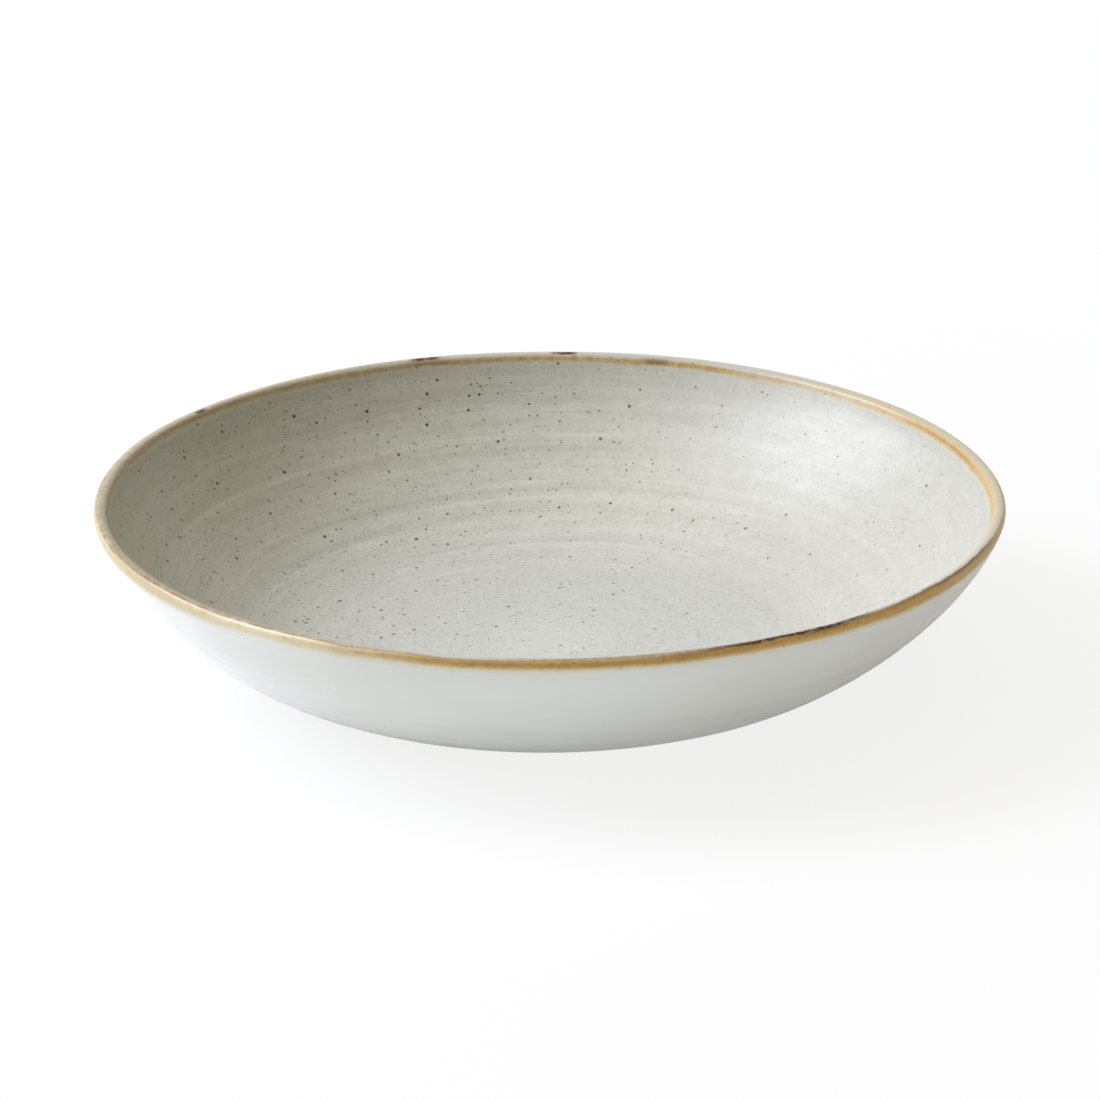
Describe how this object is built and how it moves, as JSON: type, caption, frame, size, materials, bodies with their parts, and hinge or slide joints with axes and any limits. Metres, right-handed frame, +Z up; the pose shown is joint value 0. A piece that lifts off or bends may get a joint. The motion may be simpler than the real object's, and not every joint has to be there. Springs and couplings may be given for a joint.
{
  "type": "deep coupe plate",
  "caption": "Deep round coupe plate: curved wall with no separate rim, ochre band over the rounded lip, speckled grey glaze inside, white glaze outside, low bare foot ring.",
  "frame": {"origin": "middle of the foot ring, on the plane where it stands on the table", "axes": "+Z up along the axis the plate is turned about; X and Y lie in the table and are alike"},
  "size_m": [0.255, 0.255, 0.05],
  "materials": {
    "bare_clay": "matt fired stoneware, fine open grain",
    "white_glaze": "gloss, cool white",
    "ochre_glaze": "gloss, ochre to brown, breaking pale over the crest of the lip",
    "grey_glaze": "gloss, light warm grey with turned brush bands and dark grey specks"
  },
  "bodies": {
    "root": {"clay_body": "bare_clay", "base_glaze": "white_glaze", "outer_glaze": "white_glaze", "rim_band": "ochre_glaze", "inner_glaze": "grey_glaze"}
  },
  "joints": []
}
